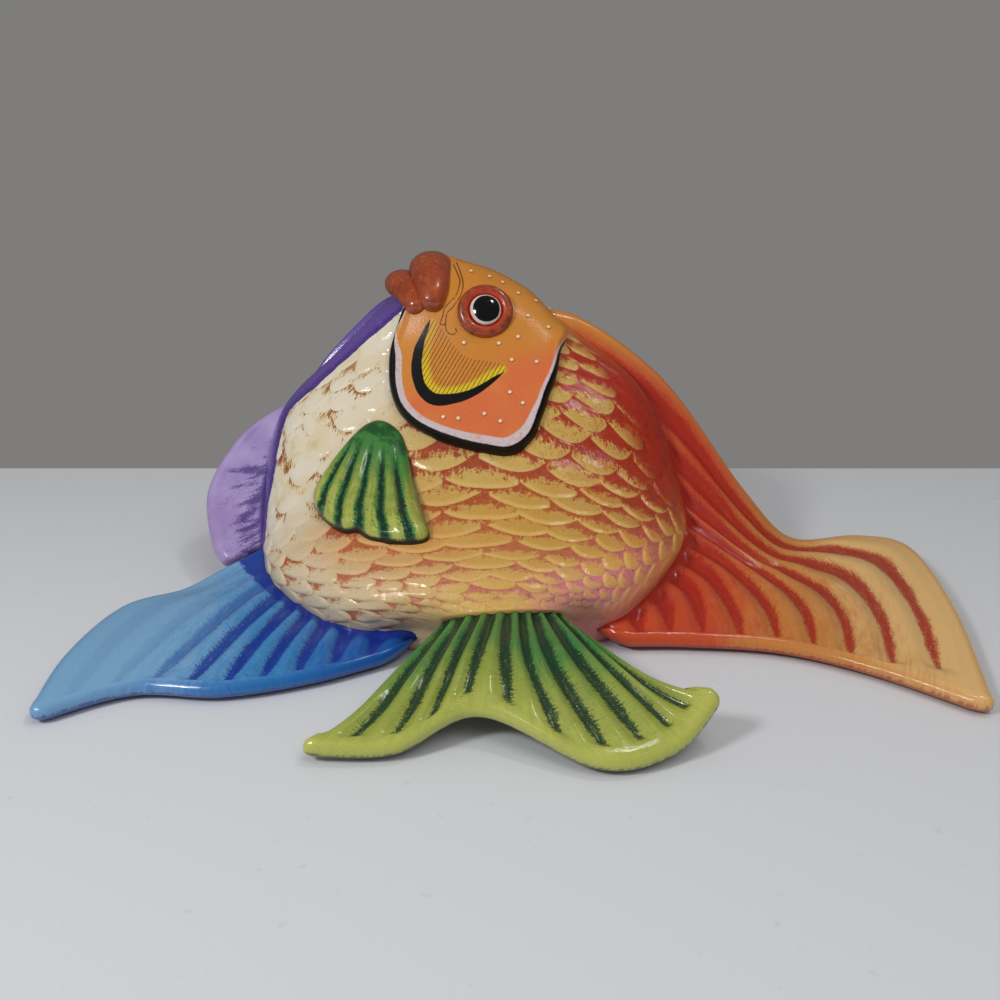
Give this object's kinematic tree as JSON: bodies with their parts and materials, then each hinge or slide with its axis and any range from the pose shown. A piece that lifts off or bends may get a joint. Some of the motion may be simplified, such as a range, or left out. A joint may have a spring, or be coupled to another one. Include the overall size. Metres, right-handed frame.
{
  "type": "fish wall hanging",
  "caption": "Hand-painted relief fish with a hollow back, spread fins and a head that bends out from the wall; hangs from a swinging D ring on a batten inside the back.",
  "frame": {"origin": "middle of the part's outline on the wall plane, z = 0 on the wall", "axes": "+Z out of the wall, +X from the belly to the back fin, +Y from the tail to the head"},
  "size_m": [0.3806, 0.256, 0.1487],
  "materials": {
    "flank_paint": "dry-brushed gold and cream scales over red recesses, glossy varnish",
    "head_paint": "orange and yellow with a black and pale edge band, glossy varnish",
    "rust_paint": "rust brown, glossy varnish",
    "eye_paint": "black pupil with a white ring, high gloss",
    "green_paint": "dry-brushed green over dark grooves, glossy varnish",
    "red_paint": "red at the root to cream at the tip with red grooves, glossy varnish",
    "blue_paint": "dry-brushed blue over deep blue grooves, glossy varnish",
    "violet_paint": "lavender over deep violet, glossy varnish",
    "leaf_paint": "yellow-green over dark green grooves, glossy varnish",
    "pine": "plain planed wood",
    "steel": "bright steel"
  },
  "bodies": {
    "fish": {"body_shell": "flank_paint", "gill_cover": "head_paint", "upper_lip": "rust_paint", "lower_lip": "rust_paint", "eye_socket": "rust_paint", "eyeball": "eye_paint", "pectoral_fin": "green_paint", "dorsal_fin": "red_paint", "anal_fin": "blue_paint", "pelvic_fin": "violet_paint", "tail_fin": "leaf_paint", "hanger_batten": "pine", "hanger_strap": "steel", "hanger_screw_1": "steel", "hanger_screw_2": "steel"},
    "ring": {"hanger_ring": "steel"}
  },
  "joints": [
    {"name": "ring_hinge", "type": "hinge", "parent": "fish", "child": "ring", "pos_m": [0.0208, 0.022, 0.0057], "axis": [0, -1, 0], "range_deg": [-160, 90]}
  ]
}
